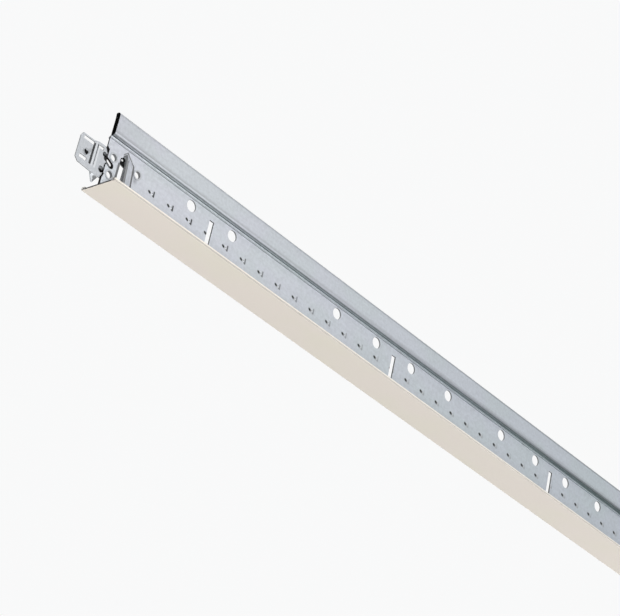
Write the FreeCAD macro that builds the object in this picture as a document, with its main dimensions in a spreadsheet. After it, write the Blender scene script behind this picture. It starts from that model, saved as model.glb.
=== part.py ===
import FreeCAD, Part
import math
import os
import re
import Sketcher

# Ceiling cross tee, millimetres. X runs along the tee, Z is up, and Z = 0 is the visible face that looks
# down into the room. The origin is at mid length on that face. Each end is the other one turned half a
# turn about Z, so end details are drawn at the -X end, measured from where the flange stops.

document = FreeCAD.newDocument("CeilingCrossTee")
sizes = document.addObject("Spreadsheet::Sheet", "Sizes")
sizes.Label = "Sizes"

# Driving dimensions
DIMENSIONS = {
    # whole tee
    "tee_length": 1200.0,
    "tee_height": 42.1,
    "face_width": 24.0,
    "strip": 0.4,
    "cap_sheet": 0.4,
    "hem_return": 2.2,
    "hem_round": 0.25,
    "hem_gap": 0.5,
    # hollow bulb and the neck under it
    "bulb_width": 6.8,
    "bulb_height": 13.55,
    "bulb_round": 2.4,
    "bulb_foot_round": 1.6,
    "bulb_overrun": 0.8,
    "bulb_chamfer": 2.7,
    "neck_height": 1.25,
    "neck_step": 0.6,
    # slots and hanger holes along the web
    "module_pitch": 150.0,
    "slot_width": 3.2,
    "slot_top": 23.1,
    "slot_bottom": 4.6,
    "hole_diameter": 6.4,
    "hole_height": 23.3,
    "hole_near": 15.5,
    "hole_far": 49.5,
    # web end
    "web_overrun": 0.8,
    "recess_depth": 1.6,
    "recess_bottom": 5.4,
    "recess_top": 22.0,
    # window beside each end, the drawn edge on its left and the hood over its right
    "window_left": 9.6,
    "window_corner": 8.7,
    "window_bend": 17.6,
    "window_shoulder": 21.4,
    "window_top": 22.1,
    "window_right": 13.4,
    "drawn_edge": 1.7,
    "drawn_depth": 0.5,
    "hood_bottom": 2.2,
    "hood_foot": 11.8,
    "hood_right": 19.0,
    "hood_right_lean": 1.8,
    "hood_shoulder": 21.4,
    "hood_apex": 25.6,
    "hood_apex_place": 12.2,
    "hood_left": 9.9,
    "hood_left_top": 23.3,
    "hood_rise": 2.5,
    "lip_foot": 12.3,
    "lip_lean": 1.3,
    "lip_width": 0.8,
    "lip_top": 20.6,
    "hood_wall": 1.0,
    "seam_width": 1.0,
    "seam_depth": 0.3,
    # end clip plate, and how far each detail lies from the flange end
    "clip_sheet": 0.5,
    "clip_tail": 25.0,
    "clip_bottom": 4.4,
    "clip_top": 22.1,
    "clip_tail_top": 23.2,
    "clip_shoulder": 5.4,
    "nose_reach": 17.5,
    "nose_top": 21.1,
    "nose_corner": 2.2,
    "tongue_front": 15.3,
    "tongue_slot": 1.9,
    "upper_slot_height": 19.35,
    "upper_slot_back": 8.4,
    "lower_slot_height": 8.7,
    "lower_slot_back": 10.5,
    "small_slot_front": 5.3,
    "small_slot_back": 2.0,
    "small_slot_bottom": 19.1,
    "small_slot_top": 20.6,
    "crease_front": 8.8,
    "crease_width": 1.3,
    "rib_front": 6.0,
    "rib_width": 0.4,
    "clip_window_top": 17.7,
    "clip_window_rise": 1.3,
    "clip_window_right": 12.6,
    "peep_place": 10.5,
    "peep_height": 21.2,
    "peep_width": 1.4,
    # eyelets drawn out of the clip
    "eyelet_bore": 3.8,
    "eyelet_wall": 0.4,
    "eyelet_rim": 0.3,
    "eyelet_gap": 0.05,
    "eyelet_front": 4.4,
    "eyelet_upper": 18.6,
    "eyelet_lower": 8.7,
    "eyelet_rear": 21.2,
    # slanted slots through the web's end and through the clip behind it
    "lance_left": 0.4,
    "lance_high": 15.3,
    "lance_right": 3.8,
    "lance_low": 13.8,
    "lance_width": 2.7,
    "slit_left": 1.9,
    "slit_high": 15.7,
    "slit_right": 4.4,
    "slit_low": 14.4,
    "slit_width": 1.5,
    # cups, barb and prong of the clip
    "upper_cup_width": 2.7,
    "lower_cup_width": 3.5,
    "cup_depth": 1.1,
    "cup_upper": 17.7,
    "cup_lower": 9.1,
    "cup_reach": 0.7,
    "barb_front": 13.3,
    "barb_back": 9.6,
    "barb_bottom": 10.8,
    "barb_top": 15.0,
    "barb_rise": 1.2,
    "prong_front": 7.0,
    "prong_back": 0.8,
    "prong_tip": 2.8,
    "prong_width": 0.8,
    "prong_reach": 1.6,
}

for row, (alias, value) in enumerate(DIMENSIONS.items(), start=1):
    sizes.set(f"A{row}", alias)
    sizes.set(f"B{row}", str(value))
    sizes.setAlias(f"B{row}", alias)
document.recompute()

# Places shared by several pieces, as formulas in the dimensions above
END = "-tee_length / 2"
THROUGH = "face_width"
BULB_BOTTOM = "tee_height - bulb_height"
MODULES = "floor(tee_length / module_pitch)"
EYELETS = [("eyelet_front", "eyelet_upper"), ("eyelet_front", "eyelet_lower"), ("eyelet_rear", "eyelet_upper")]
CUPS = [("upper_cup_width", "cup_upper"), ("lower_cup_width", "cup_lower")]


def size(text):
    """Turn a formula in dimension names into one that reads the sheet."""
    return re.sub(r"[a-z_]+", lambda word: f"Sizes.{word[0]}" if word[0] in DIMENSIONS else word[0], text)


def worked_out(text):
    """Give a formula's present value."""
    return float(sizes.evalExpression(size(text)))


def point_at(across, up):
    """Give the sketch point at two formulas."""
    return FreeCAD.Vector(worked_out(across), worked_out(up), 0)


def origin_part(body, role):
    """Find one of a body's own origin planes or axes by its role."""
    return next(item for item in body.Origin.OriginFeatures if item.Role == role)


def add_body(name, label):
    """Start a piece."""
    body = document.addObject("PartDesign::Body", name)
    body.Label = label
    return body


def add_sketch(body, name, role, along=None, depth=None):
    """Start a sketch on an origin plane, shifted along its first axis and off its face."""
    sketch = body.newObject("Sketcher::SketchObject", name)
    sketch.AttachmentSupport = [(origin_part(body, role), "")]
    sketch.MapMode = "FlatFace"
    if along:
        sketch.setExpression(".AttachmentOffset.Base.x", size(along))
    if depth:
        sketch.setExpression(".AttachmentOffset.Base.z", size(depth))
    return sketch


def pin(sketch, geometry, end, kind, formula):
    """Hold one point of a sketch at a formula along one axis, measured from the sketch's origin."""
    constraint = Sketcher.Constraint(kind, -1, 1, geometry, end, worked_out(formula))
    index = sketch.addConstraint(constraint)
    sketch.setExpression(f"Constraints[{index}]", size(formula))


def add_outline(sketch, corners):
    """Draw a closed outline of straight edges through corners given as pairs of formulas."""
    places = [point_at(across, up) for across, up in corners]
    count = len(corners)
    first = sketch.GeometryCount
    for index in range(count):
        sketch.addGeometry(Part.LineSegment(places[index], places[(index + 1) % count]))
    for index in range(count):
        following = first + (index + 1) % count
        sketch.addConstraint(Sketcher.Constraint("Coincident", first + index, 2, following, 1))
    for index, (across, up) in enumerate(corners):
        pin(sketch, first + index, 1, "DistanceX", across)
        pin(sketch, first + index, 1, "DistanceY", up)


def add_rectangle(sketch, left, bottom, right, top):
    """Draw a rectangle between two corners given as formulas."""
    add_outline(sketch, [(left, bottom), (right, bottom), (right, top), (left, top)])


def add_circles(sketch, centres, diameter):
    """Draw circles of one diameter, all given as formulas."""
    across = worked_out(diameter)
    for centre in centres:
        circle = Part.Circle(point_at(*centre), FreeCAD.Vector(0, 0, 1), across / 2)
        index = sketch.addGeometry(circle)
        pin(sketch, index, 3, "DistanceX", centre[0])
        pin(sketch, index, 3, "DistanceY", centre[1])
        constraint = sketch.addConstraint(Sketcher.Constraint("Diameter", index, across))
        sketch.setExpression(f"Constraints[{constraint}]", size(diameter))


def add_bulb_outline(sketch, wall):
    """Draw the bulb's outline, well rounded above and less so below, set in by a wall."""
    half = f"bulb_width / 2 - {wall}"
    low = f"{BULB_BOTTOM} + {wall}"
    high = f"tee_height - {wall}"
    foot, ankle = "bulb_width / 2 - bulb_foot_round", f"{BULB_BOTTOM} + bulb_foot_round"
    flat, spring = "bulb_width / 2 - bulb_round", "tee_height - bulb_round"
    edges = [
        ((f"-({half})", spring), (f"-({half})", ankle)),
        ((f"-({foot})", low), (foot, low)),
        ((half, ankle), (half, spring)),
        ((flat, high), (f"-({flat})", high)),
    ]
    corners = [
        (f"-({foot})", ankle, "bulb_foot_round"),
        (foot, ankle, "bulb_foot_round"),
        (flat, spring, "bulb_round"),
        (f"-({flat})", spring, "bulb_round"),
    ]
    for index, ((start, finish), (across, up, rounding)) in enumerate(zip(edges, corners)):
        sketch.addGeometry(Part.LineSegment(point_at(*start), point_at(*finish)))
        radius = worked_out(f"{rounding} - {wall}")
        circle = Part.Circle(point_at(across, up), FreeCAD.Vector(0, 0, 1), radius)
        turn = math.pi * (1 + index / 2)
        sketch.addGeometry(Part.ArcOfCircle(circle, turn, turn + math.pi / 2))
    for edge in range(8):
        sketch.addConstraint(Sketcher.Constraint("Coincident", edge, 2, (edge + 1) % 8, 1))
    for index, ends in enumerate(edges):
        for end, (across, up) in enumerate(ends, start=1):
            pin(sketch, 2 * index, end, "DistanceX", across)
            pin(sketch, 2 * index, end, "DistanceY", up)
    for index, (across, _, _) in enumerate(corners):
        pin(sketch, 2 * index + 1, 3, "DistanceX", across)


def add_slanted_slot(sketch, name):
    """Draw a slot that slopes down from its left end, with pointed ends, from the sizes named after it."""
    left, high, right, low = (f"{name}_{side}" for side in ("left", "high", "right", "low"))
    slope = f"atan2({high} - {low}; {right} - {left})"
    along = f"{name}_width / 2 * cos({slope})"
    aside = f"{name}_width / 2 * sin({slope})"
    add_outline(sketch, [
        (f"{left} - {aside}", f"{high} - {along}"),
        (f"{right} - {aside}", f"{low} - {along}"),
        (f"{right} + {along}", f"{low} - {aside}"),
        (f"{right} + {aside}", f"{low} + {along}"),
        (f"{left} + {aside}", f"{high} + {along}"),
        (f"{left} - {along}", f"{high} + {aside}"),
    ])


def add_feature(body, kind, name, sketch, length, side="One side", reverse=False):
    """Pad or pocket a sketch by a formula."""
    feature = body.newObject(f"PartDesign::{kind}", name)
    feature.Profile = sketch
    feature.Type = "Length"
    feature.SideType = side
    feature.Reversed = reverse
    feature.setExpression("Length", size(length))
    return feature


def add_loft(body, kind, name, first, second):
    """Join two parallel outlines with straight sides."""
    loft = body.newObject(f"PartDesign::{kind}", name)
    loft.Profile = first
    loft.Sections = [second]
    loft.Ruled = True
    return loft


def repeat_along(body, name, features, pitch, count):
    """Repeat features along the tee."""
    pattern = body.newObject("PartDesign::LinearPattern", name)
    pattern.Originals = features
    pattern.Direction = (origin_part(body, "X_Axis"), [""])
    pattern.Mode = "Spacing"
    pattern.setExpression("Offset", size(pitch))
    pattern.setExpression("Occurrences", size(count))
    body.Tip = pattern


def repeat_at_other_end(body, name, features):
    """Repeat end details at the other end, half a turn about the upright axis."""
    pattern = body.newObject("PartDesign::PolarPattern", name)
    pattern.Originals = features
    pattern.Axis = (origin_part(body, "Z_Axis"), [""])
    pattern.Angle = 360
    pattern.Occurrences = 2
    body.Tip = pattern


def make_section(body):
    """Two flanges, a double web, a neck and a hollow bulb, all of one strip."""
    edge = "face_width / 2 - cap_sheet"
    neck = "strip + neck_step"
    web_length = "tee_length + 2 * web_overrun"
    bulb_length = "tee_length + 2 * bulb_overrun"

    sketch = add_sketch(body, "FlangeSection", "YZ_Plane")
    add_rectangle(sketch, f"-({edge})", "cap_sheet", edge, "cap_sheet + strip")
    add_feature(body, "Pad", "Flanges", sketch, "tee_length", "Symmetric")

    sketch = add_sketch(body, "WebSection", "YZ_Plane")
    add_rectangle(sketch, "-strip", "cap_sheet + strip / 2", "strip", f"{BULB_BOTTOM} + strip / 2")
    add_feature(body, "Pad", "Web", sketch, web_length, "Symmetric")

    sketch = add_sketch(body, "NeckSection", "YZ_Plane")
    add_rectangle(sketch, f"-({neck})", f"{BULB_BOTTOM} - neck_height", neck, f"{BULB_BOTTOM} + strip / 2")
    add_feature(body, "Pad", "Neck", sketch, web_length, "Symmetric")

    sketch = add_sketch(body, "BulbSection", "YZ_Plane")
    add_bulb_outline(sketch, "0")
    add_feature(body, "Pad", "Bulb", sketch, bulb_length, "Symmetric")
    sketch = add_sketch(body, "BulbHollowSection", "YZ_Plane")
    add_bulb_outline(sketch, "strip")
    add_feature(body, "Pocket", "BulbHollow", sketch, bulb_length, "Symmetric")


def make_punched_row(body):
    """Web slots with a hanger hole on each side, and wider pairs of holes away from the ends."""
    slot_left = "module_pitch / 2 - slot_width / 2"
    sketch = add_sketch(body, "SlotOutline", "XZ_Plane", END)
    add_rectangle(sketch, slot_left, "slot_bottom", f"{slot_left} + slot_width", "slot_top")
    slot = add_feature(body, "Pocket", "Slot", sketch, THROUGH, "Symmetric")

    near_pair = [(f"module_pitch / 2 {sign} hole_near", "hole_height") for sign in "-+"]
    sketch = add_sketch(body, "NearHoleOutline", "XZ_Plane", END)
    add_circles(sketch, near_pair, "hole_diameter")
    near_holes = add_feature(body, "Pocket", "NearHoles", sketch, THROUGH, "Symmetric")
    repeat_along(body, "SlotRow", [slot, near_holes], "module_pitch", MODULES)

    far_pair = [(f"3 * module_pitch / 2 {sign} hole_far", "hole_height") for sign in "-+"]
    sketch = add_sketch(body, "FarHoleOutline", "XZ_Plane", END)
    add_circles(sketch, far_pair, "hole_diameter")
    far_holes = add_feature(body, "Pocket", "FarHoles", sketch, THROUGH, "Symmetric")
    repeat_along(body, "FarHoleRow", [far_holes], "module_pitch", f"{MODULES} - 2")


def make_hood(body):
    """Hood pressed out of the web, hinged on its right and open towards the end, over the window."""
    lip_left, lip_right = "lip_foot", "lip_foot + lip_width"
    root = add_sketch(body, "HoodRoot", "XZ_Plane", END, "strip / 2")
    add_outline(root, [
        ("hood_foot", "hood_bottom"),
        ("hood_right", "hood_bottom"),
        ("hood_right - hood_right_lean", "hood_shoulder"),
        ("hood_apex_place", "hood_apex"),
        ("hood_left", "hood_left_top"),
    ])
    crest = add_sketch(body, "HoodCrest", "XZ_Plane", END, "strip + hood_rise")
    add_outline(crest, [
        (lip_left, "hood_bottom"),
        (lip_right, "hood_bottom"),
        (f"{lip_right} - lip_lean", "lip_top"),
        (f"{lip_left} - lip_lean + lip_width / 2", "lip_top + strip"),
        (f"{lip_left} - lip_lean", "lip_top"),
    ])
    outside = add_loft(body, "AdditiveLoft", "Hood", root, crest)

    hollow_bottom = "hood_bottom - strip"
    slope = "hood_wall"
    root = add_sketch(body, "HoodHollowRoot", "XZ_Plane", END, "-2 * strip")
    add_outline(root, [
        ("window_left", hollow_bottom),
        (f"hood_right + {slope}", hollow_bottom),
        (f"hood_right - hood_right_lean + {slope}", f"hood_shoulder + {slope} / 2"),
        ("hood_apex_place", f"hood_apex + {slope} * 0.8"),
        ("hood_left - strip", f"hood_left_top - strip + {slope} * 0.2"),
    ])
    crest = add_sketch(body, "HoodHollowCrest", "XZ_Plane", END, "hood_rise")
    add_outline(crest, [
        (f"lip_foot - {slope} * 1.5", hollow_bottom),
        ("lip_foot + lip_width - strip / 2", hollow_bottom),
        ("lip_foot + lip_width - lip_lean - strip / 2", "lip_top - strip"),
        (f"{lip_left} - lip_lean + lip_width / 2", "lip_top"),
        (f"{lip_left} - lip_lean - {slope}", f"lip_top - {slope}"),
    ])
    inside = add_loft(body, "SubtractiveLoft", "HoodHollow", root, crest)

    sketch = add_sketch(body, "WindowOutline", "XZ_Plane", END, "strip")
    add_outline(sketch, [
        ("window_left", hollow_bottom),
        ("window_right", hollow_bottom),
        ("window_right", "window_top"),
        ("(window_corner + window_right) / 2", "window_top"),
        ("window_corner", "window_shoulder"),
        ("window_corner", "window_bend + strip"),
        ("window_left", "window_bend"),
    ])
    window = add_feature(body, "Pocket", "Window", sketch, "2 * strip")

    sketch = add_sketch(body, "DrawnEdgeOutline", "XY_Plane", END, hollow_bottom)
    add_outline(sketch, [
        ("window_left - drawn_edge", "-strip"),
        ("window_left + strip", "drawn_depth - strip"),
        ("window_left + strip", "-2 * strip"),
        ("window_left - drawn_edge", "-2 * strip"),
    ])
    drawn = add_feature(body, "Pocket", "DrawnEdge", sketch, f"window_bend + strip - ({hollow_bottom})", reverse=True)

    sketch = add_sketch(body, "SeamOutline", "XZ_Plane", END, "strip")
    add_outline(sketch, [
        ("hood_right", "hood_bottom"),
        ("hood_right + seam_width", "hood_bottom"),
        ("hood_right + seam_width - hood_right_lean", "hood_shoulder"),
        ("hood_apex_place", "hood_apex + seam_width"),
        ("hood_left", "hood_left_top + seam_width"),
        ("hood_left", "hood_left_top"),
        ("hood_apex_place", "hood_apex"),
        ("hood_right - hood_right_lean", "hood_shoulder"),
    ])
    seam = add_feature(body, "Pocket", "Seam", sketch, "seam_depth")
    return [outside, inside, window, drawn, seam]


def make_web_end(body):
    """Recess that the clip comes out of, lance slot, eyelet holes and the bulb's chamfered far half."""
    recess_floor = "recess_depth - web_overrun"
    sketch = add_sketch(body, "EndRecessOutline", "XZ_Plane", END)
    add_outline(sketch, [
        ("-2 * web_overrun", "0"),
        ("0", "0"),
        ("0", "recess_bottom"),
        (recess_floor, "recess_bottom + recess_depth"),
        (recess_floor, "recess_top - recess_depth / 4"),
        ("-2 * web_overrun", "recess_top + recess_depth / 4"),
    ])
    recess = add_feature(body, "Pocket", "EndRecess", sketch, THROUGH, "Symmetric")

    sketch = add_sketch(body, "LanceOutline", "XZ_Plane", END)
    add_slanted_slot(sketch, "lance")
    lance = add_feature(body, "Pocket", "LanceSlot", sketch, THROUGH, "Symmetric")

    sketch = add_sketch(body, "EyeletHoleOutline", "XZ_Plane", END)
    add_circles(sketch, EYELETS, "eyelet_bore + 2 * eyelet_wall + 2 * eyelet_gap")
    holes = add_feature(body, "Pocket", "EyeletHoles", sketch, THROUGH, "Symmetric")

    sketch = add_sketch(body, "BulbChamferOutline", "XY_Plane", END, f"{BULB_BOTTOM} - strip / 2")
    add_outline(sketch, [
        ("-bulb_overrun", "0"),
        ("2 * bulb_chamfer - bulb_overrun", "bulb_width"),
        ("-2 * bulb_overrun", "bulb_width"),
        ("-2 * bulb_overrun", "0"),
    ])
    chamfer = add_feature(body, "Pocket", "BulbChamfer", sketch, "bulb_height + strip", reverse=True)
    return [recess, lance, holes, chamfer]


def make_tee_body():
    """Roll-formed galvanised strip."""
    body = add_body("TeeBody", "tee_body")
    make_section(body)
    make_punched_row(body)
    end_details = make_hood(body) + make_web_end(body)
    repeat_at_other_end(body, "EndDetails", end_details)
    return body


def make_face_cap():
    """Pre-painted strip over the face, hemmed round both flange edges."""
    body = add_body("FaceCap", "face_cap")
    top = "2 * cap_sheet + strip + hem_gap"
    right_half = [
        ("face_width / 2 - hem_round", "0"),
        ("face_width / 2", "hem_round"),
        ("face_width / 2", f"{top} - hem_round"),
        ("face_width / 2 - hem_round", top),
        ("face_width / 2 - hem_return", top),
        ("face_width / 2 - hem_return", f"{top} - cap_sheet"),
        ("face_width / 2 - cap_sheet", f"{top} - cap_sheet"),
        ("face_width / 2 - cap_sheet", "cap_sheet"),
    ]
    left_half = [(f"-({across})", up) for across, up in reversed(right_half)]
    sketch = add_sketch(body, "CapSection", "YZ_Plane")
    add_outline(sketch, right_half + left_half)
    add_feature(body, "Pad", "Cap", sketch, "tee_length", "Symmetric")
    return body


def make_clip_plate(body):
    """Flat plate of the clip on the far side of the web, with its openings and creases."""
    sketch = add_sketch(body, "PlateOutline", "XZ_Plane", None, "-strip - clip_sheet")
    add_outline(sketch, [
        ("-nose_reach", "lower_slot_height - tongue_slot"),
        ("-nose_reach + nose_corner", "clip_bottom + clip_sheet"),
        ("-prong_front", "clip_bottom"),
        ("clip_tail", "clip_bottom"),
        ("clip_tail", "clip_tail_top"),
        ("window_corner - drawn_edge", "clip_tail_top"),
        ("window_corner - 2 * drawn_edge", "clip_top"),
        ("-clip_shoulder", "clip_top"),
        ("-crease_front", "nose_top"),
        ("-nose_reach + nose_corner / 2", "nose_top"),
        ("-nose_reach", "nose_top - nose_corner"),
    ])
    add_feature(body, "Pad", "Plate", sketch, "clip_sheet")

    sketch = add_sketch(body, "OpeningOutline", "XZ_Plane")
    add_rectangle(sketch, "-tongue_front", "upper_slot_height - tongue_slot / 2",
                  "-upper_slot_back", "upper_slot_height + tongue_slot / 2")
    add_rectangle(sketch, "-tongue_front", "lower_slot_height - tongue_slot / 2",
                  "-lower_slot_back", "lower_slot_height + tongue_slot / 2")
    add_rectangle(sketch, "-small_slot_front", "small_slot_bottom", "-small_slot_back", "small_slot_top")
    add_slanted_slot(sketch, "slit")
    add_outline(sketch, [
        ("window_left - drawn_edge", "clip_bottom + 3 * clip_sheet"),
        ("clip_window_right", "clip_bottom + 3 * clip_sheet"),
        ("clip_window_right", "clip_window_top"),
        ("window_left - drawn_edge", "clip_window_top + clip_window_rise"),
    ])
    add_circles(sketch, [("peep_place", "peep_height")], "peep_width")
    add_feature(body, "Pocket", "Openings", sketch, THROUGH, "Symmetric")

    sketch = add_sketch(body, "CreaseOutline", "XZ_Plane", None, "-strip")
    add_rectangle(sketch, "-crease_front", "lower_slot_height - tongue_slot / 2",
                  "-crease_front + crease_width", "upper_slot_height - tongue_slot * 0.6")
    add_rectangle(sketch, "-rib_front", "lower_slot_height", "-rib_front + rib_width",
                  "upper_slot_height - tongue_slot / 2")
    add_feature(body, "Pocket", "Creases", sketch, "clip_sheet / 2")


def make_clip_eyelets(body):
    """Collars through the web, each with a rim turned over on the near side."""
    sketch = add_sketch(body, "CollarOutline", "XZ_Plane", None, "-strip")
    add_circles(sketch, EYELETS, "eyelet_bore + 2 * eyelet_wall")
    add_feature(body, "Pad", "Collars", sketch, "2 * strip + eyelet_rim")
    sketch = add_sketch(body, "RimOutline", "XZ_Plane", None, "strip")
    add_circles(sketch, EYELETS, "eyelet_bore + 4 * eyelet_wall")
    add_feature(body, "Pad", "Rims", sketch, "eyelet_rim")
    sketch = add_sketch(body, "BoreOutline", "XZ_Plane")
    add_circles(sketch, EYELETS, "eyelet_bore")
    add_feature(body, "Pocket", "Bores", sketch, THROUGH, "Symmetric")


def make_clip_pressings(body):
    """Cups beside the web's end, the barb on the tongue and the prong under the plate."""
    sketch = add_sketch(body, "CupOutline", "XZ_Plane", None, "-strip - clip_sheet")
    for width, height in CUPS:
        add_circles(sketch, [("-cup_reach", height)], f"{width} + 2 * clip_sheet")
    add_feature(body, "Pad", "Cups", sketch, "cup_depth", reverse=True)
    sketch = add_sketch(body, "CupHollowOutline", "XZ_Plane", None, "-strip")
    for width, height in CUPS:
        add_circles(sketch, [("-cup_reach", height)], width)
    add_feature(body, "Pocket", "CupHollows", sketch, "cup_depth")

    root = add_sketch(body, "BarbRoot", "XZ_Plane", None, "-strip - clip_sheet / 2")
    add_outline(root, [
        ("-barb_front", "(barb_bottom + barb_top) / 2"),
        ("-(barb_front + barb_back) / 2", "barb_bottom"),
        ("-barb_back", "(barb_bottom + barb_top) / 2"),
        ("-(barb_front + barb_back) / 2", "barb_top"),
    ])
    tip = add_sketch(body, "BarbTip", "XZ_Plane", None, "barb_rise - strip")
    add_outline(tip, [
        ("-barb_front", "(barb_bottom + barb_top) / 2"),
        ("-(barb_front + barb_back) / 2", "barb_bottom"),
        ("-(barb_front + barb_back) / 2 + barb_rise / 2", "barb_bottom + barb_rise / 2"),
        ("-barb_front + barb_rise / 2", "(barb_bottom + barb_top) / 2 + barb_rise / 2"),
    ])
    add_loft(body, "AdditiveLoft", "Barb", root, tip)

    root = add_sketch(body, "ProngRoot", "XY_Plane", None, "clip_bottom + clip_sheet")
    add_rectangle(root, "-prong_front", "strip", "-prong_back", "strip + clip_sheet")
    tip = add_sketch(body, "ProngTip", "XY_Plane", None, "2 * cap_sheet")
    add_rectangle(tip, "-prong_tip - prong_width / 2", "strip + prong_reach",
                  "-prong_tip + prong_width / 2", "strip + prong_reach + clip_sheet")
    add_loft(body, "AdditiveLoft", "Prong", root, tip)


def make_end_clip(name, label, place, turn):
    """Stamped steel clip, drawn at the -X end and turned to its own end."""
    body = add_body(name, label)
    make_clip_plate(body)
    make_clip_eyelets(body)
    make_clip_pressings(body)
    body.Placement.Rotation = FreeCAD.Rotation(FreeCAD.Vector(0, 0, 1), turn)
    body.setExpression(".Placement.Base.x", size(place))
    return body


def check_document():
    """Stop if any object failed to recompute."""
    for item in document.Objects:
        if "Invalid" in item.State or "Error" in item.State:
            raise RuntimeError(f"{item.Name} did not recompute: {item.State}")


def export(piece):
    """Check that a piece is one sound solid and write it."""
    shape = piece.Shape
    if shape.isNull() or not shape.isValid() or len(shape.Solids) != 1:
        raise RuntimeError(f"{piece.Label} is not one valid solid")
    shape.exportStep(f"parts/{piece.Label}.step")
    box = shape.BoundBox
    lowest = [round(value, 2) for value in (box.XMin, box.YMin, box.ZMin)]
    highest = [round(value, 2) for value in (box.XMax, box.YMax, box.ZMax)]
    print(piece.Label, f"{shape.Volume:.1f} mm3", len(shape.Faces), "faces", lowest, highest)


pieces = [
    make_tee_body(),
    make_face_cap(),
    make_end_clip("EndClipLeft", "end_clip_left", END, 0),
    make_end_clip("EndClipRight", "end_clip_right", "tee_length / 2", 180),
]
document.recompute()
check_document()
os.makedirs("parts", exist_ok=True)
for piece in pieces:
    export(piece)
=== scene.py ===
import math

import bpy
import numpy as np
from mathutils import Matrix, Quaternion, Vector


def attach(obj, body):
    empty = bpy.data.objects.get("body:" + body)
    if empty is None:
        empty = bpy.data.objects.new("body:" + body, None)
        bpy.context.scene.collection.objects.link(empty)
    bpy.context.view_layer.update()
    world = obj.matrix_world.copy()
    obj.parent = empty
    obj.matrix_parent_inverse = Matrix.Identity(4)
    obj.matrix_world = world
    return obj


mm = 0.001
halfLength = 600.0                    # mm from the middle of the tee to the end of its flange

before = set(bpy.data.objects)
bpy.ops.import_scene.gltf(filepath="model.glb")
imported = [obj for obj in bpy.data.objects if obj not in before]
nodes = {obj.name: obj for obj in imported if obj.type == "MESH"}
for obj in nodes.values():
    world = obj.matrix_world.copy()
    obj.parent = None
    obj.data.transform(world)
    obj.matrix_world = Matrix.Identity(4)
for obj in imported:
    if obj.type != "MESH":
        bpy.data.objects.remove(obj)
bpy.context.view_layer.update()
scene = bpy.context.scene
print("frame loaded:", ", ".join(sorted(nodes)))


# Node helpers. A value is a number, a tuple or another node's socket.

def newMaterial(name):
    material = bpy.data.materials.new(name)
    material.use_nodes = True
    tree = material.node_tree
    tree.nodes.clear()
    output = tree.nodes.new("ShaderNodeOutputMaterial")
    shader = tree.nodes.new("ShaderNodeBsdfPrincipled")
    tree.links.new(shader.outputs["BSDF"], output.inputs["Surface"])
    return material, tree, shader


def addNode(tree, kind, settings=None, inputs=None):
    node = tree.nodes.new(kind)
    for key, value in (settings or {}).items():
        setattr(node, key, value)
    for key, value in (inputs or {}).items():
        if isinstance(value, bpy.types.NodeSocket):
            tree.links.new(value, node.inputs[key])
        else:
            node.inputs[key].default_value = value
    return node


def calc(tree, operation, first, second=0.0, third=0.0):
    inputs = {0: first, 1: second, 2: third}
    return addNode(tree, "ShaderNodeMath", {"operation": operation}, inputs).outputs[0]


def vectorCalc(tree, operation, first, second):
    key = "Scale" if operation == "SCALE" else 1
    node = addNode(tree, "ShaderNodeVectorMath", {"operation": operation}, {0: first, key: second})
    return node.outputs["Value" if operation in ("DOT_PRODUCT", "DISTANCE") else "Vector"]


def flatVector(tree, x, y):
    return addNode(tree, "ShaderNodeCombineXYZ", None, {0: x, 1: y}).outputs[0]


def rescale(tree, value, fromMin, fromMax, toMin, toMax, smooth=False):
    settings = {"interpolation_type": "SMOOTHSTEP" if smooth else "LINEAR", "clamp": True}
    return addNode(tree, "ShaderNodeMapRange", settings, {
        "Value": value, "From Min": fromMin, "From Max": fromMax, "To Min": toMin, "To Max": toMax,
    }).outputs["Result"]


def noiseOf(tree, point, stretch, scale, detail=2.0, roughness=0.5):
    mapped = addNode(tree, "ShaderNodeMapping", None, {"Vector": point, "Scale": stretch}).outputs[0]
    return addNode(tree, "ShaderNodeTexNoise", None, {
        "Vector": mapped, "Scale": scale, "Detail": detail, "Roughness": roughness,
    }).outputs["Fac"]


def mixColour(tree, factor, first, second):
    settings = {"data_type": "RGBA", "clamp_factor": True}
    return addNode(tree, "ShaderNodeMix", settings, {0: factor, 6: first, 7: second}).outputs[2]


def grey(value, blue=1.06):
    # the cool grey of zinc
    return (value, value * (1 + blue) / 2, value * blue, 1.0)


def finishShader(tree, shader, values, colour, wear, height):
    # roughness follows wear between its two values; bump is its strength and its depth in millimetres
    tree.links.new(colour, shader.inputs["Base Color"])
    roughness = rescale(tree, wear, *values["wear"], *values["roughness"])
    tree.links.new(roughness, shader.inputs["Roughness"])
    strength, depth = values["bump"]
    inputs = {"Strength": strength, "Distance": depth * mm, "Height": height}
    tree.links.new(addNode(tree, "ShaderNodeBump", None, inputs).outputs["Normal"], shader.inputs["Normal"])
    shader.inputs["Metallic"].default_value = values["metallic"]


def dullPaintedShade(tree, shader, colour, darkest=0.01, dark=0.12, gloss=0.5):
    # where the painted shade is deepest, the surface reflects nothing
    red = addNode(tree, "ShaderNodeSeparateColor", None, {0: colour}).outputs[0]
    tree.links.new(rescale(tree, red, darkest, dark, 0.0, gloss), shader.inputs["Specular IOR Level"])


# Masks, 1 inside and 0 outside.

def within(tree, value, low, high):
    return calc(tree, "COMPARE", value, (low + high) / 2, (high - low) / 2)


def joined(tree, operation, masks):
    total = masks[0]
    for mask in masks[1:]:
        total = calc(tree, operation, total, mask)
    return total


def allOf(tree, *masks):
    return joined(tree, "MULTIPLY", masks)


def anyOf(tree, *masks):
    return joined(tree, "MAXIMUM", masks)


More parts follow.
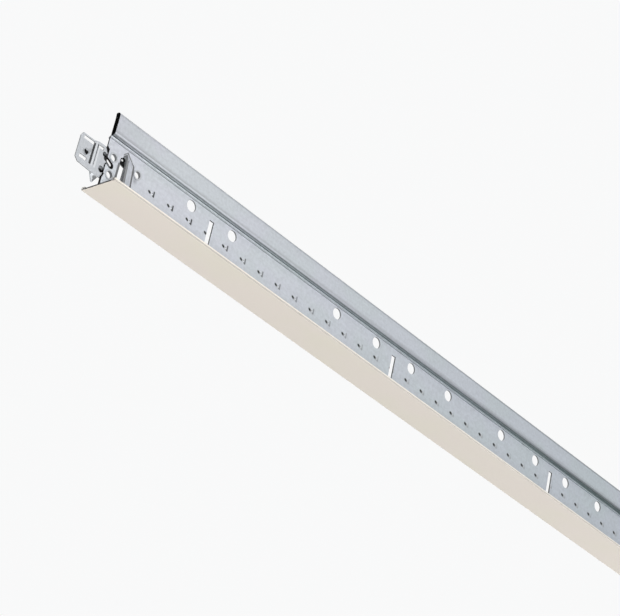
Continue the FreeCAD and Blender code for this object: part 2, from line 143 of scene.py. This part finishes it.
def stroke(tree, plane, start, end, half, soft):
    # a line of half width half from start to end in the plane, with an edge as wide as soft
    run = (end[0] - start[0], end[1] - start[1], 0.0)
    square = run[0] ** 2 + run[1] ** 2
    away = vectorCalc(tree, "SUBTRACT", plane, (start[0], start[1], 0.0))
    share = vectorCalc(tree, "DOT_PRODUCT", away, (run[0] / square, run[1] / square, 0.0))
    foot = vectorCalc(tree, "SCALE", run, rescale(tree, share, 0, 1, 0, 1))
    distance = vectorCalc(tree, "DISTANCE", away, foot)
    return rescale(tree, distance, half - soft / 2, half + soft / 2, 1, 0, True)


def measure(tree):
    # Where a point of the surface lies, in millimetres, the same at both ends of the tee: inward from the end
    # of the flange, deep from the middle of the web towards the clip, aside from it to either side, high
    # above the face, and along from the left end. The face measures say how far the surface looks that way.
    point = addNode(tree, "ShaderNodeTexCoord").outputs["Object"]
    place = vectorCalc(tree, "SCALE", point, 1 / mm)
    parts = addNode(tree, "ShaderNodeSeparateXYZ", None, {0: place}).outputs
    normal = addNode(tree, "ShaderNodeNewGeometry").outputs["True Normal"]
    facing = addNode(tree, "ShaderNodeSeparateXYZ", None, {0: normal}).outputs
    side = calc(tree, "MULTIPLY", calc(tree, "SIGN", parts["X"]), -1.0)
    inward = calc(tree, "SUBTRACT", halfLength, calc(tree, "ABSOLUTE", parts["X"]))
    return {
        "point": point,
        "along": calc(tree, "ADD", parts["X"], halfLength),
        "inward": inward,
        "deep": calc(tree, "MULTIPLY", parts["Y"], side),
        "aside": calc(tree, "ABSOLUTE", parts["Y"]),
        "high": parts["Z"],
        "faceInward": calc(tree, "MULTIPLY", facing["X"], side),
        "faceDeep": calc(tree, "MULTIPLY", facing["Y"], side),
        "faceAside": calc(tree, "ABSOLUTE", facing["Y"]),
        "faceEnd": calc(tree, "ABSOLUTE", facing["X"]),
        "endPlane": flatVector(tree, inward, parts["Z"]),
    }


def graded(tree, spot, pair, start=20.0, end=420.0):
    # a value that changes from the near end to the middle of the tee
    return rescale(tree, spot["inward"], start, end, *pair)


def maskOf(tree, spot, place):
    # where all of a place's bands hold, on any of its lines, times its fade and its strength near the end
    # and in the middle
    masks = [within(tree, spot[name], *band) for name, band in place.get("bands", {}).items()]
    if "lines" in place:
        masks.append(anyOf(tree, *(stroke(tree, spot["endPlane"], *line) for line in place["lines"])))
    if "fade" in place:
        name, start, end = place["fade"]
        masks.append(rescale(tree, spot[name], start, end, 1, 0))
    if "strength" in place:
        masks.append(graded(tree, spot, place["strength"]))
    return allOf(tree, *masks)


def paintPlaces(tree, spot, colour, places):
    for place in places.values():
        colour = mixColour(tree, maskOf(tree, spot, place), colour, grey(place["grey"]))
    return colour


# Galvanised strip: broad soft patches, a fine grain, faint lines along the roll, and painted shade and light
# in the folds, at the cuts and in the hood.
# Bands are in the measures of measure(); a line is its start, its end, half its width and its soft edge.

webCut = {"aside": (-1.0, 0.41), "high": (0.9, 28.6), "faceAside": (-1.0, 0.3)}
flangeCut = {"faceEnd": (0.6, 1.1), "high": (0.0, 1.0)}
hoodBox = {"inward": (7.0, 21.0), "high": (0.0, 27.0)}
webSkin = {"deep": (-0.45, -0.35)}

galvanised = {
    "colours": ((0.515, 0.530, 0.575, 1.0), (0.500, 0.530, 0.555, 1.0)),
    "metallic": 0.30,
    "patches": ((1, 1, 1.6), 30, 2.0),                 # stretch, noise scale per metre, detail
    "patchMix": (0.42, 0.62, 0.0, 0.8),
    "grain": ((1, 1, 1), 620, 3.0, 0.6),
    "grainShade": (0.3, 0.7, 0.90, 1.06),
    "rollLines": ((6, 900, 900), 1.0, 3.0, 0.6),
    "rollShade": (0.3, 0.7, 0.965, 1.02),
    "wear": (0.25, 0.75),
    "roughness": (0.36, 0.50),
    "bump": (0.05, 0.1),
    "bumpShares": (0.6, 0.4),                          # of the grain and of the roll lines
    # Painted shade and light along the neck, under and up the bulb, on the top edge, on the hood's face,
    # below the rear eyelet and low on the web: times the colour, near the end and in the middle; 1.001 leaves
    # out the neck's side, which stands at 1.
    "shades": {
        "neck": {"bands": {"high": (27.85, 28.6), "aside": (0.9, 1.1)}, "times": (1.32, 0.46)},
        "crease": {"bands": {"high": (27.1, 27.85), "aside": (0.38, 1.1)}, "times": (0.76, 0.86)},
        "underInner": {"bands": {"high": (28.4, 28.7), "aside": (1.001, 1.75)}, "times": (0.22, 0.46)},
        "underOuter": {"bands": {"high": (28.4, 28.7), "aside": (1.75, 3.3)}, "times": (0.80, 0.41)},
        "underEnd": {"bands": {"high": (28.4, 28.7), "aside": (1.001, 3.3)}, "fade": ("inward", 2.0, 12.0),
                     "times": (0.62, 0.62)},
        "foot": {"bands": {"aside": (1.8, 3.41), "high": (28.71, 29.15)}, "times": (0.43, 0.26)},
        "ankle": {"bands": {"aside": (2.0, 3.41), "high": (29.15, 29.95)}, "times": (0.86, 0.38)},
        "ankleEnd": {"bands": {"aside": (2.0, 3.41), "high": (29.15, 30.5)}, "fade": ("inward", 20.0, 75.0),
                     "times": (0.89, 0.89)},
        "shin": {"bands": {"aside": (2.0, 3.41), "high": (29.95, 32.0)}, "fade": ("high", 29.95, 32.0),
                 "times": (0.68, 0.76)},
        "bulbEnd": {"bands": {"aside": (3.3, 3.41), "high": (30.5, 40.6)}, "fade": ("inward", 8.0, 34.0),
                    "times": (0.92, 0.92)},
        "ridge": {"bands": {"aside": (0.5, 2.0), "high": (41.3, 42.2)}, "times": (0.92, 0.30)},
        "top": {"bands": {"aside": (1.2, 3.39), "high": (39.9, 42.2)}, "times": (0.98, 0.64)},
        "hoodFace": {"bands": {**hoodBox, "deep": (-2.6, -0.42), "faceInward": (0.2, 1.1)},
                     "times": (1.22, 1.22)},
        # painted shade of a soft dent below the rear eyelet
        "dentShade": {"bands": webSkin, "lines": [((19.6, 18.2), (20.6, 14.6), 1.2, 2.2)], "times": (0.62, 0.62)},
        "lowWeb": {"bands": webSkin, "fade": ("high", 10.0, 15.0), "times": (1.08, 1.0)},
    },
    # painted tint of the light: cooler towards the middle, greener in the painted shade of the folds
    "tints": {
        "middle": {"strength": (0.0, 1.0), "times": (0.98, 1.03, 1.04)},
        "folds": {"bands": {"high": (27.85, 29.15), "aside": (0.9, 3.41)}, "strength": (0.25, 1.0),
                  "times": (0.90, 1.02, 0.97)},
    },
    "cutShade": {                                          # painted shade and light on the sheared and drawn edges, in the grooves and in the hood's openings
        "hole": {"bands": webCut, "grey": 0.22},
        "slot": {"bands": {**webCut, "module": (73.2, 76.8)}, "strength": (1.0, 0.55), "grey": 0.05},
        "end": {"bands": {**webCut, "inward": (-2.0, 30.0)}, "grey": 0.012},
        "window": {"bands": {**webCut, "inward": (12.0, 15.0), "high": (0.9, 21.5)}, "grey": 0.50},
        "flange": {"bands": flangeCut, "grey": 0.05},
        "windowEdge": {"bands": {"inward": (7.5, 10.2), "high": (1.0, 18.4), "deep": (-0.395, 0.45)},
                       "grey": 0.21},
        "gable": {"bands": {"inward": (9.8, 20.5), "deep": (-0.395, -0.05)}, "grey": 0.22},
        "seam": {"bands": {"inward": (9.8, 20.5), "deep": (-0.395, -0.05), "high": (1.0, 22.4)},
                 "grey": 0.15},
        "mouth": {"bands": {**hoodBox, "deep": (-3.2, -0.42), "faceInward": (-1.1, -0.25)}, "grey": 0.20},
        "mouthRim": {"bands": {**hoodBox, "deep": (-3.2, -2.6)}, "grey": 0.20},
        "flangeTip": {"bands": {**flangeCut, "aside": (9.4, 12.1)}, "grey": 0.40},
    },
    # painted black shadow at the clip end of the web and on the cut ends of the bulb
    "ends": {
        "endShadows": {"bands": {"deep": (-0.45, 0.45)}, "grey": 0.010, "lines": [
            ((-0.9, 21.6), (-0.3, 20.3), 0.95, 0.4),
            ((0.4, 15.3), (3.9, 13.75), 1.80, 0.4),
            ((4.0, 14.0), (4.4, 13.5), 1.30, 0.4),
            ((0.80, 7.4), (0.15, 5.3), 0.50, 0.4),
            ((0.10, 5.3), (0.10, 1.0), 0.52, 0.4),
            ((-0.1, 1.2), (1.0, 0.9), 0.70, 0.4),
        ]},
        "bulbCut": {"bands": {"high": (28.6, 42.1), "faceEnd": (0.6, 1.1)}, "grey": 0.012},
    },
    "inside": 0.010,                                   # unlit inside of the bulb
    "bulbCorners": ((1.0, 39.7, 1.0, 2.2), (1.8, 30.15, -1.0, 1.4)),   # middle, up or down, inner radius
}

stitch = {
    "first": 33.2,             # mm from the end of the flange to the middle of the first stitch
    "module": 150.0,
    "pitch": 150 / 10.91,
    "count": 83,
    "height": 14.93,
    "point": 2.7,              # from the middle of a stitch to the left end of its scoop
    "length": 3.9,
    "shortest": 0.2,
    "width": 2.9,
    "rise": 0.55,
    "blunt": 0.04,             # share of the width at the left end, squared
    "skin": 0.4,               # from the middle of the web to its skin
    "skinBand": (0.35, 0.45),
    "sunk": 0.02,              # depth of the scoop's rim and of its root in the skin
    "root": 0.06,
    "slots": 8,
    "slotWidth": 3.2,
    "slotGap": 0.05,
    "steps": (9, 7),           # along and across one scoop
    "margin": 5.0,             # of the painted row past the first and the last stitch
    "paintStretch": (60.0, 250.0),
    "stitchShading": {                 # painted shadows of each stitch's slit and recess and a painted highlight: lines round the middle of a stitch; strength at both ends of the stretch
        "glint": {"lines": [((-0.8, 0.2), (0.1, -0.5), 0.7, 0.8)], "strength": (0.5, 0.5), "grey": 0.78},
        "tailShade": {"lines": [((-1.2, -0.35), (0.6, -0.85), 0.75, 1.5)], "strength": (0.0, 0.484), "grey": 0.20},
        "slitShadows": {"strength": (1.0, 0.12), "grey": 0.03, "lines": [
            ((-2.45, 0.10), (-2.05, -0.10), 0.58, 0.55),
            ((1.10, 1.30), (1.20, -1.25), 0.46, 0.55),
            ((1.05, -1.30), (0.50, -1.05), 0.36, 0.55),
            ((-0.15, 0.15), (0.0, 0.10), 0.22, 0.55),
        ]},
        "dotShadow": {"lines": [((-1.5, -0.30), (-1.15, -0.35), 0.80, 0.9)], "strength": (0.0, 0.88), "grey": 0.03},
        "tickShadow": {"lines": [((-2.05, -0.10), (-1.60, -0.30), 0.66, 0.55)], "strength": (1.0, 1.0),
                 "grey": 0.03},
    },
}


def paintStitchShading(tree, spot, colour):
    # the painted shadows and painted highlight of one stitch, repeated along the web
    values = stitch
    fromStart = calc(tree, "SUBTRACT", spot["along"], values["first"] - values["pitch"] / 2)
    beside = calc(tree, "SUBTRACT", calc(tree, "WRAP", fromStart, values["pitch"], 0.0), values["pitch"] / 2)
    plane = flatVector(tree, beside, calc(tree, "SUBTRACT", spot["high"], values["height"]))
    last = values["first"] + values["pitch"] * (values["count"] - 1)
    rowEnds = (values["first"] - values["margin"], last + values["margin"])
    row = allOf(tree, within(tree, spot["along"], *rowEnds), within(tree, spot["aside"], *values["skinBand"]))
    for place in values["stitchShading"].values():
        lines = anyOf(tree, *(stroke(tree, plane, *line) for line in place["lines"]))
        mask = allOf(tree, row, lines, graded(tree, spot, place["strength"], *values["paintStretch"]))
        colour = mixColour(tree, mask, colour, grey(place["grey"]))
    return colour


def cornerWithin(tree, spot, aside, high, turn, reach):
    # true on the inner side of a rounded corner of the bulb, whose middle is aside and high
    across = calc(tree, "MAXIMUM", calc(tree, "SUBTRACT", spot["aside"], aside), 0.0)
    up = calc(tree, "MAXIMUM", calc(tree, "MULTIPLY", calc(tree, "SUBTRACT", spot["high"], high), turn), 0.0)
    distance = vectorCalc(tree, "DISTANCE", flatVector(tree, across, up), (0, 0, 0))
    return calc(tree, "LESS_THAN", distance, reach)


def makeGalvanised():
    values = galvanised
    material, tree, shader = newMaterial("galvanisedStrip")
    spot = measure(tree)
    spot["module"] = calc(tree, "WRAP", spot["along"], stitch["module"], 0.0)
    patches = noiseOf(tree, spot["point"], *values["patches"])
    grain = noiseOf(tree, spot["point"], *values["grain"])
    rollLines = noiseOf(tree, spot["point"], *values["rollLines"])
    colour = mixColour(tree, rescale(tree, patches, *values["patchMix"], True), *values["colours"])

    shade = calc(tree, "MULTIPLY", rescale(tree, grain, *values["grainShade"]),
                 rescale(tree, rollLines, *values["rollShade"]))
    for place in values["shades"].values():
        change = calc(tree, "SUBTRACT", graded(tree, spot, place["times"]), 1.0)
        times = calc(tree, "MULTIPLY_ADD", maskOf(tree, spot, place), change, 1.0)
        shade = calc(tree, "MULTIPLY", shade, times)
    colour = vectorCalc(tree, "SCALE", colour, shade)
    for place in values["tints"].values():
        tinted = vectorCalc(tree, "MULTIPLY", colour, place["times"])
        colour = mixColour(tree, maskOf(tree, spot, place), colour, tinted)

    colour = paintPlaces(tree, spot, colour, values["cutShade"])
    colour = paintStitchShading(tree, spot, colour)
    colour = paintPlaces(tree, spot, colour, values["ends"])
    inside = allOf(tree, *(cornerWithin(tree, spot, *corner) for corner in values["bulbCorners"]))
    colour = mixColour(tree, inside, colour, grey(values["inside"]))

    grainShare, rollShare = values["bumpShares"]
    height = calc(tree, "MULTIPLY_ADD", grain, grainShare, calc(tree, "MULTIPLY", rollLines, rollShare))
    finishShader(tree, shader, values, colour, grain, height)
    dullPaintedShade(tree, shader, colour)
    return material


# Coil-coated cap: a matt cream film with a slight orange peel and very soft patches, with painted shade on
# the side of the hem and on the cut ends and a painted highlight along the hem's rim.

cream = {
    "colours": ((0.654, 0.600, 0.542, 1.0), (0.643, 0.606, 0.522, 1.0)),
    "metallic": 0.0,
    "patches": ((1, 1.5, 1), 22, 2.0),
    "patchMix": (0.4, 0.7, 0.0, 0.8),
    "peel": ((1, 1, 1), 900, 2.0, 0.5),
    "wear": (0.3, 0.7),
    "roughness": (0.42, 0.54),
    "bump": (0.06, 0.05),
    "hemStretch": (80.0, 320.0),           # from the near to the inward colour of the painted shade and highlight on the hem
    # painted shade on the hem's side and a painted highlight along its rim, both darker near the ends
    "hem": {
        "side": {"bands": {"faceAside": (0.5, 1.1)},
                 "near": (0.42, 0.39, 0.35, 1.0), "inwards": (0.60, 0.56, 0.50, 1.0)},
        "rim": {"bands": {"faceAside": (0.5, 1.1), "high": (0.65, 1.8)},
                "near": (0.84, 0.80, 0.73, 1.0), "inwards": (0.96, 0.92, 0.86, 1.0)},
    },
    # painted shade on the cut ends of the cap and of its hems
    "ends": {
        "shadedCapEnd": {"bands": {"faceEnd": (0.6, 1.1)}, "colour": (0.07, 0.062, 0.056, 1.0)},
        "shadedHemEnd": {"bands": {"faceEnd": (0.6, 1.1), "aside": (9.4, 12.1)}, "colour": (0.42, 0.40, 0.37, 1.0)},
    },
}


def makeCream():
    values = cream
    material, tree, shader = newMaterial("creamPaint")
    spot = measure(tree)
    patches = noiseOf(tree, spot["point"], *values["patches"])
    peel = noiseOf(tree, spot["point"], *values["peel"])
    colour = mixColour(tree, rescale(tree, patches, *values["patchMix"], True), *values["colours"])
    inwards = graded(tree, spot, (0, 1), *values["hemStretch"])
    for place in values["hem"].values():
        hem = mixColour(tree, inwards, place["near"], place["inwards"])
        colour = mixColour(tree, maskOf(tree, spot, place), colour, hem)
    for place in values["ends"].values():
        colour = mixColour(tree, maskOf(tree, spot, place), colour, place["colour"])
    finishShader(tree, shader, values, colour, peel, peel)
    return material


# Stamped spring strip of the clips: brighter than the web, grey smears, a fine upright grain, and painted
# shade in the pressings, cuts and openings, with painted highlights beside the crease and the rib.

clipSkin = {"deep": (0.38, 0.42), "faceDeep": (-1.1, -0.5)}
clipPressing = {"deep": (0.43, 1.55), "faceDeep": (-1.1, -0.5)}

clip = {
    "colours": ((0.440, 0.457, 0.480, 1.0), (0.355, 0.375, 0.395, 1.0)),
    "metallic": 0.45,
    "smears": ((1, 1, 0.6), 260, 3.0, 0.6),
    "smearMix": (0.5, 0.75, 0.0, 0.6),
    "grain": ((1.0, 1.0, 0.25), 1500, 2.0, 0.5),
    "grainShade": (0.3, 0.7, 0.93, 1.05),
    "wear": (0.3, 0.7),
    "roughness": (0.34, 0.5),
    "bump": (0.05, 0.05),
    # painted shade in the cuts, bores, pressings, cups, barb and prong and on the skin behind the openings;
    # painted light beside the window; painted highlights beside the crease and the rib
    "places": {
        "cut": {"bands": {"deep": (0.41, 0.89), "faceAside": (-1.0, 0.3)}, "grey": 0.20},
        "bore": {"bands": {"inward": (2.0, 24.0), "faceAside": (-1.0, 0.3), "deep": (-0.8, 0.91)},
                 "grey": 0.17},
        # painted shade and light on the skin against the web, which is seen only through the openings
        "hidden": {"bands": {**clipSkin, "inward": (6.0, 26.0)}, "grey": 0.025},
        "besideWindow": {"bands": {**clipSkin, "inward": (12.59, 26.0), "high": (0.0, 19.5)}, "grey": 0.66},
        "underHood": {"bands": {**clipSkin, "inward": (12.3, 26.0), "high": (19.5, 23.5)}, "grey": 0.36},
        "windowEdge": {"bands": {**clipSkin, "inward": (12.59, 13.2), "high": (0.0, 19.5)}, "grey": 0.55},
        "aroundSlit": {"bands": clipSkin, "lines": [((0.5, 16.1), (4.9, 14.4), 1.3, 0.5)], "grey": 0.025},
        "upperCorner": {"bands": clipSkin, "lines": [((-0.3, 22.0), (0.8, 20.4), 0.8, 0.5)], "grey": 0.025},
        "crease": {"bands": {**clipPressing, "inward": (-9.0, -7.3)}, "grey": 0.045},
        "rib": {"bands": {**clipPressing, "inward": (-6.2, -5.4)}, "grey": 0.14},
        "pressingEnds": {"bands": clipSkin, "grey": 0.045, "lines": [
            ((-8.15, 18.1), (-8.05, 19.4), 0.6, 0.4),
            ((-5.8, 18.3), (-5.8, 20.3), 0.3, 0.4),
        ]},
        "cups": {"bands": {"deep": (0.43, 1.52)}, "grey": 0.008, "lines": [
            ((-0.8, 17.8), (0.2, 17.4), 1.1, 1.5),
            ((-0.3, 9.3), (0.8, 9.0), 1.2, 1.8),
        ]},
        "barb": {"bands": {"deep": (-0.9, 0.39)}, "grey": 0.008, "lines": [
            ((-13.2, 12.4), (-11.9, 10.6), 0.5, 0.4),
            ((-12.1, 11.2), (-11.9, 11.9), 0.7, 0.5),
        ]},
        # painted shade beside the barb
        "barbShade": {"bands": clipSkin, "lines": [((-10.2, 13.6), (-9.4, 15.0), 0.8, 1.6)],
                   "strength": (0.6, 0.6), "grey": 0.22},
        # painted highlights beside the crease and the rib
        "creaseHighlight": {"bands": {**clipSkin, "high": (7.5, 21.0), "inward": (-7.25, -6.4)}, "grey": 0.56},
        "ribHighlight": {"bands": {**clipSkin, "high": (7.5, 21.0), "inward": (-5.35, -4.4)}, "grey": 0.56},
        "prong": {"bands": {"deep": (0.5, 2.6), "high": (0.5, 4.6)}, "grey": 0.12, "lines": [
            ((-2.9, 3.3), (-1.4, 3.3), 0.9, 0.8),
            ((-2.6, 1.8), (-2.4, 2.8), 0.5, 0.4),
        ]},
    },
}


def makeClipSteel():
    values = clip
    material, tree, shader = newMaterial("clipSteel")
    spot = measure(tree)
    smears = noiseOf(tree, spot["point"], *values["smears"])
    grain = noiseOf(tree, spot["point"], *values["grain"])
    colour = mixColour(tree, rescale(tree, smears, *values["smearMix"], True), *values["colours"])
    colour = vectorCalc(tree, "SCALE", colour, rescale(tree, grain, *values["grainShade"]))
    colour = paintPlaces(tree, spot, colour, values["places"])
    finishShader(tree, shader, values, colour, smears, grain)
    dullPaintedShade(tree, shader, colour)
    return material


def dress(node, material):
    mesh = nodes[node].data
    mesh.materials.clear()
    mesh.materials.append(material)


galvanisedStrip, creamPaint, clipSteel = makeGalvanised(), makeCream(), makeClipSteel()
dress("tee_body", galvanisedStrip)
dress("face_cap", creamPaint)
dress("end_clip_left", clipSteel)
dress("end_clip_right", clipSteel)
print("materials made")


# Stitches: scoops pressed out of the far side of the web, each open at its right end.

def placeScoops():
    # left and right end of each scoop; one that meets a slot stops at the slot's edge
    values = stitch
    middles = -halfLength + values["first"] + values["pitch"] * np.arange(values["count"])
    left = middles - values["point"]
    right = left + values["length"]
    clear = values["slotWidth"] / 2 + values["slotGap"]
    for middle in -halfLength + values["module"] * (np.arange(values["slots"]) + 0.5):
        fromLeft = (left < middle - clear) & (right > middle - clear)
        right = np.where(fromLeft, middle - clear, right)
        fromRight = (left < middle + clear) & (left >= middle - clear)
        left = np.where(fromRight, np.minimum(middle + clear, right - values["shortest"]), left)
    return left, right


def makeStitches():
    # On one scoop, u runs along the tee and v across it, both from -1 to 1. The scoop widens from a blunt
    # point at its left end as the root of (1 + u) / 2, and its height over the web is the rise times that
    # width share times the arch root of (1 - v squared).
    values = stitch
    along, across = values["steps"]
    left, right = placeScoops()
    u = np.linspace(-1, 1, along)
    v = np.sin(np.linspace(-np.pi / 2, np.pi / 2, across))
    gridU, gridV = np.meshgrid(u, v, indexing="ij")
    share = np.sqrt(np.clip(values["blunt"] + (1 - values["blunt"]) * (gridU + 1) / 2, 0, 1))
    rise = values["rise"] * share * np.sqrt(np.clip(1 - gridV ** 2, 0, 1))
    placeX = left[:, None, None] + (gridU + 1) / 2 * (right - left)[:, None, None]
    placeY = np.broadcast_to(values["skin"] + rise - values["sunk"], placeX.shape)
    placeZ = np.broadcast_to(values["height"] + gridV * share * values["width"] / 2, placeX.shape)
    outer = np.stack([placeX, placeY, placeZ], -1)
    inner = outer.copy()
    inner[..., 1] = values["skin"] - values["root"]
    points = np.stack([outer, inner], 1).reshape(-1, 3) * mm
    i, j = np.meshgrid(np.arange(along - 1), np.arange(across - 1), indexing="ij")
    corner = (i * across + j).ravel()
    grid = along * across
    skin = np.stack([corner, corner + 1, corner + across + 1, corner + across], -1)
    under = skin[:, ::-1] + grid
    rim = np.concatenate([
        np.arange(across), across * np.arange(1, along) + across - 1,
        (along - 1) * across + np.arange(across - 2, -1, -1), across * np.arange(along - 2, 0, -1),
    ])
    following = np.roll(rim, -1)
    sides = np.stack([following, rim, rim + grid, following + grid], -1)
    oneScoop = np.concatenate([skin, under, sides])
    faces = (oneScoop[None] + 2 * grid * np.arange(values["count"])[:, None, None]).reshape(-1, 4)
    mesh = bpy.data.meshes.new("web_stitches")
    mesh.from_pydata(points.tolist(), [], faces.tolist())
    mesh.update()
    piece = bpy.data.objects.new("web_stitches", mesh)
    scene.collection.objects.link(piece)
    mesh.materials.append(galvanisedStrip)
    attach(piece, "root")
    return piece


stitches = makeStitches()
print("stitches made:", len(stitches.data.polygons), "faces")


# The camera of the photograph: near one end, below the face and in front of the web.

view = {
    "place": (-1.14671, -0.75209, -0.52908),
    "azimuth": -43.0357,
    "elevation": -27.9100,
    "roll": 12.6764,
    "lens": 127.115,
    "sensor": 36.0,
    "clip": (0.01, 20),
}


def makeCamera():
    azimuth, elevation = math.radians(view["azimuth"]), math.radians(view["elevation"])
    level = math.cos(elevation)
    ahead = Vector((-math.sin(azimuth) * level, math.cos(azimuth) * level, -math.sin(elevation)))
    data = bpy.data.cameras.new("camera")
    data.sensor_fit = "HORIZONTAL"
    data.sensor_width = view["sensor"]
    data.lens = view["lens"]
    data.clip_start, data.clip_end = view["clip"]
    camera = bpy.data.objects.new("camera", data)
    scene.collection.objects.link(camera)
    camera.location = view["place"]
    camera.rotation_mode = "QUATERNION"
    turn = Quaternion((0, 0, 1), math.radians(view["roll"]))
    camera.rotation_quaternion = ahead.to_track_quat("-Z", "Y") @ turn
    scene.camera = camera


# Floor, lamps and background.

stage = {
    "floorHalf": 6.0,
    "floorLevel": -0.4 * mm,
    "floorColour": (0.28, 0.28, 0.28, 1.0),
    "floorRoughness": 0.9,
    "floorPale": (0.945, 0.948, 0.95, 1.0),
    "floorGlow": 0.74,                # pale colour that the camera sees under the shadow
    "background": (0.945, 0.948, 0.95, 1.0),
    "ambient": 0.06,
    "lamps": (                        # name, place, aim along X, size, power
        ("front", (-0.22, -1.50, 0.20), -0.22, 0.80, 4.3),
        ("frontFar", (0.35, -1.60, 0.10), 0.30, 0.80, 7.8),
        ("nearSide", (-0.85, -0.45, -0.35), -0.50, 0.30, 3.6),
        ("nearEnd", (-1.05, -0.55, -0.20), -0.58, 0.25, 1.1),
        ("under", (0.78, 0.02, -1.50), 0.55, 0.50, 31),
        ("back", (0.30, 1.80, 0.70), 0.0, 1.30, 16),
    ),
    "aimHeight": 0.02,
}


def makeFloor():
    # a pale floor just under the face, which keeps the shadow; from below it is clear, so that the camera
    # sees the face
    mesh = bpy.data.meshes.new("floor")
    half, level = stage["floorHalf"], stage["floorLevel"]
    corners = [(-half, -half, level), (half, -half, level), (half, half, level), (-half, half, level)]
    mesh.from_pydata(corners, [], [(0, 1, 2, 3)])
    floor = bpy.data.objects.new("floor", mesh)
    scene.collection.objects.link(floor)
    material, tree, shader = newMaterial("floorPaint")
    shader.inputs["Base Color"].default_value = stage["floorColour"]
    shader.inputs["Roughness"].default_value = stage["floorRoughness"]
    seen = addNode(tree, "ShaderNodeLightPath").outputs["Is Camera Ray"]
    glow = addNode(tree, "ShaderNodeEmission", None, {
        "Color": stage["floorPale"], "Strength": calc(tree, "MULTIPLY", seen, stage["floorGlow"]),
    })
    pale = addNode(tree, "ShaderNodeAddShader", None, {0: shader.outputs[0], 1: glow.outputs[0]})
    clear = addNode(tree, "ShaderNodeBsdfTransparent")
    below = addNode(tree, "ShaderNodeNewGeometry").outputs["Backfacing"]
    mixed = addNode(tree, "ShaderNodeMixShader", None, {0: below, 1: pale.outputs[0], 2: clear.outputs[0]})
    output = next(node for node in tree.nodes if node.type == "OUTPUT_MATERIAL")
    tree.links.new(mixed.outputs[0], output.inputs["Surface"])
    mesh.materials.append(material)
    floor.visible_shadow = False      # lamps below the floor still reach the face
    floor.visible_diffuse = False
    floor.visible_glossy = False


def makeLamps():
    for name, place, aimX, size, power in stage["lamps"]:
        data = bpy.data.lights.new(name, "AREA")
        data.size, data.energy = size, power
        lamp = bpy.data.objects.new(name, data)
        scene.collection.objects.link(lamp)
        lamp.location = place
        lamp.visible_camera = False
        lamp.rotation_mode = "QUATERNION"
        ahead = Vector((aimX, 0, stage["aimHeight"])) - Vector(place)
        lamp.rotation_quaternion = ahead.to_track_quat("-Z", "Y")


def makeBackground():
    # plain pale ambient light; what the camera and gloss see of it is the background's colour
    world = bpy.data.worlds.new("studio")
    scene.world = world
    world.use_nodes = True
    tree = world.node_tree
    tree.nodes.clear()
    path = addNode(tree, "ShaderNodeLightPath")
    seen = anyOf(tree, *(path.outputs[f"Is {kind} Ray"] for kind in ("Camera", "Glossy", "Transmission")))
    light = addNode(tree, "ShaderNodeBackground", None, {"Color": (1, 1, 1, 1), "Strength": stage["ambient"]})
    pale = addNode(tree, "ShaderNodeBackground", None, {"Color": stage["background"], "Strength": 1.0})
    mixed = addNode(tree, "ShaderNodeMixShader", None, {0: seen, 1: light.outputs[0], 2: pale.outputs[0]})
    output = addNode(tree, "ShaderNodeOutputWorld")
    tree.links.new(mixed.outputs[0], output.inputs["Surface"])


makeCamera()
makeFloor()
makeLamps()
makeBackground()
scene.view_settings.view_transform = "Standard"
print("stage and camera made")
